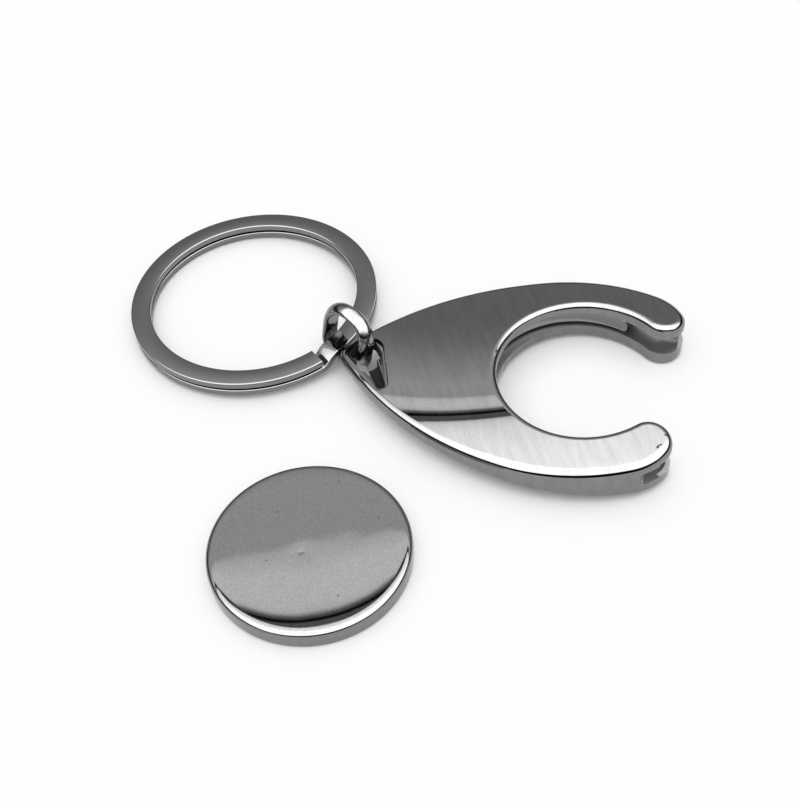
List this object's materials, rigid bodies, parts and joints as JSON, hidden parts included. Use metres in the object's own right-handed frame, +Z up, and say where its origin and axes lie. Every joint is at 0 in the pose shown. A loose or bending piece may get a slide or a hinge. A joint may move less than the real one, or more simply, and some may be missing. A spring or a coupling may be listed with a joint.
{
  "type": "trolley coin keyring",
  "caption": "Polished metal keyring with a C-shaped spring holder for a trolley coin, the round coin, a half-round link and a flat split ring.",
  "frame": {"origin": "centre of the coin's underside, on the floor", "axes": "+X out of the holder's open mouth, away from the link and the split ring; +Z up"},
  "size_m": [0.0716, 0.0653, 0.0079],
  "materials": {
    "holder_plating": "polished dark nickel",
    "spring_steel": "rolled spring steel",
    "link_plating": "polished dark nickel",
    "ring_plating": "nickel plate on flat steel wire",
    "token_metal": "satin plated steel"
  },
  "bodies": {
    "holder": {"coin_holder": "holder_plating", "spring_strip": "spring_steel"},
    "link": {"link": "link_plating"},
    "ring": {"split_ring": "ring_plating"},
    "coin": {"coin": "token_metal"}
  },
  "joints": [
    {"name": "link_hinge", "type": "hinge", "parent": "holder", "child": "link", "pos_m": [-0.00158, 0.02953, 0.00347], "axis": [0.5446, 0.8387, 0], "range_deg": [-75, 20]},
    {"name": "ring_hinge", "type": "hinge", "parent": "link", "child": "ring", "pos_m": [-0.003, 0.03212, 0.00276], "axis": [0.3584, 0.9336, -0.0041], "range_deg": [-5, 110]},
    {"name": "coin_lift", "type": "slide", "parent": "holder", "child": "coin", "axis": [0, 0, 1], "range_m": [0, 0.03]}
  ]
}
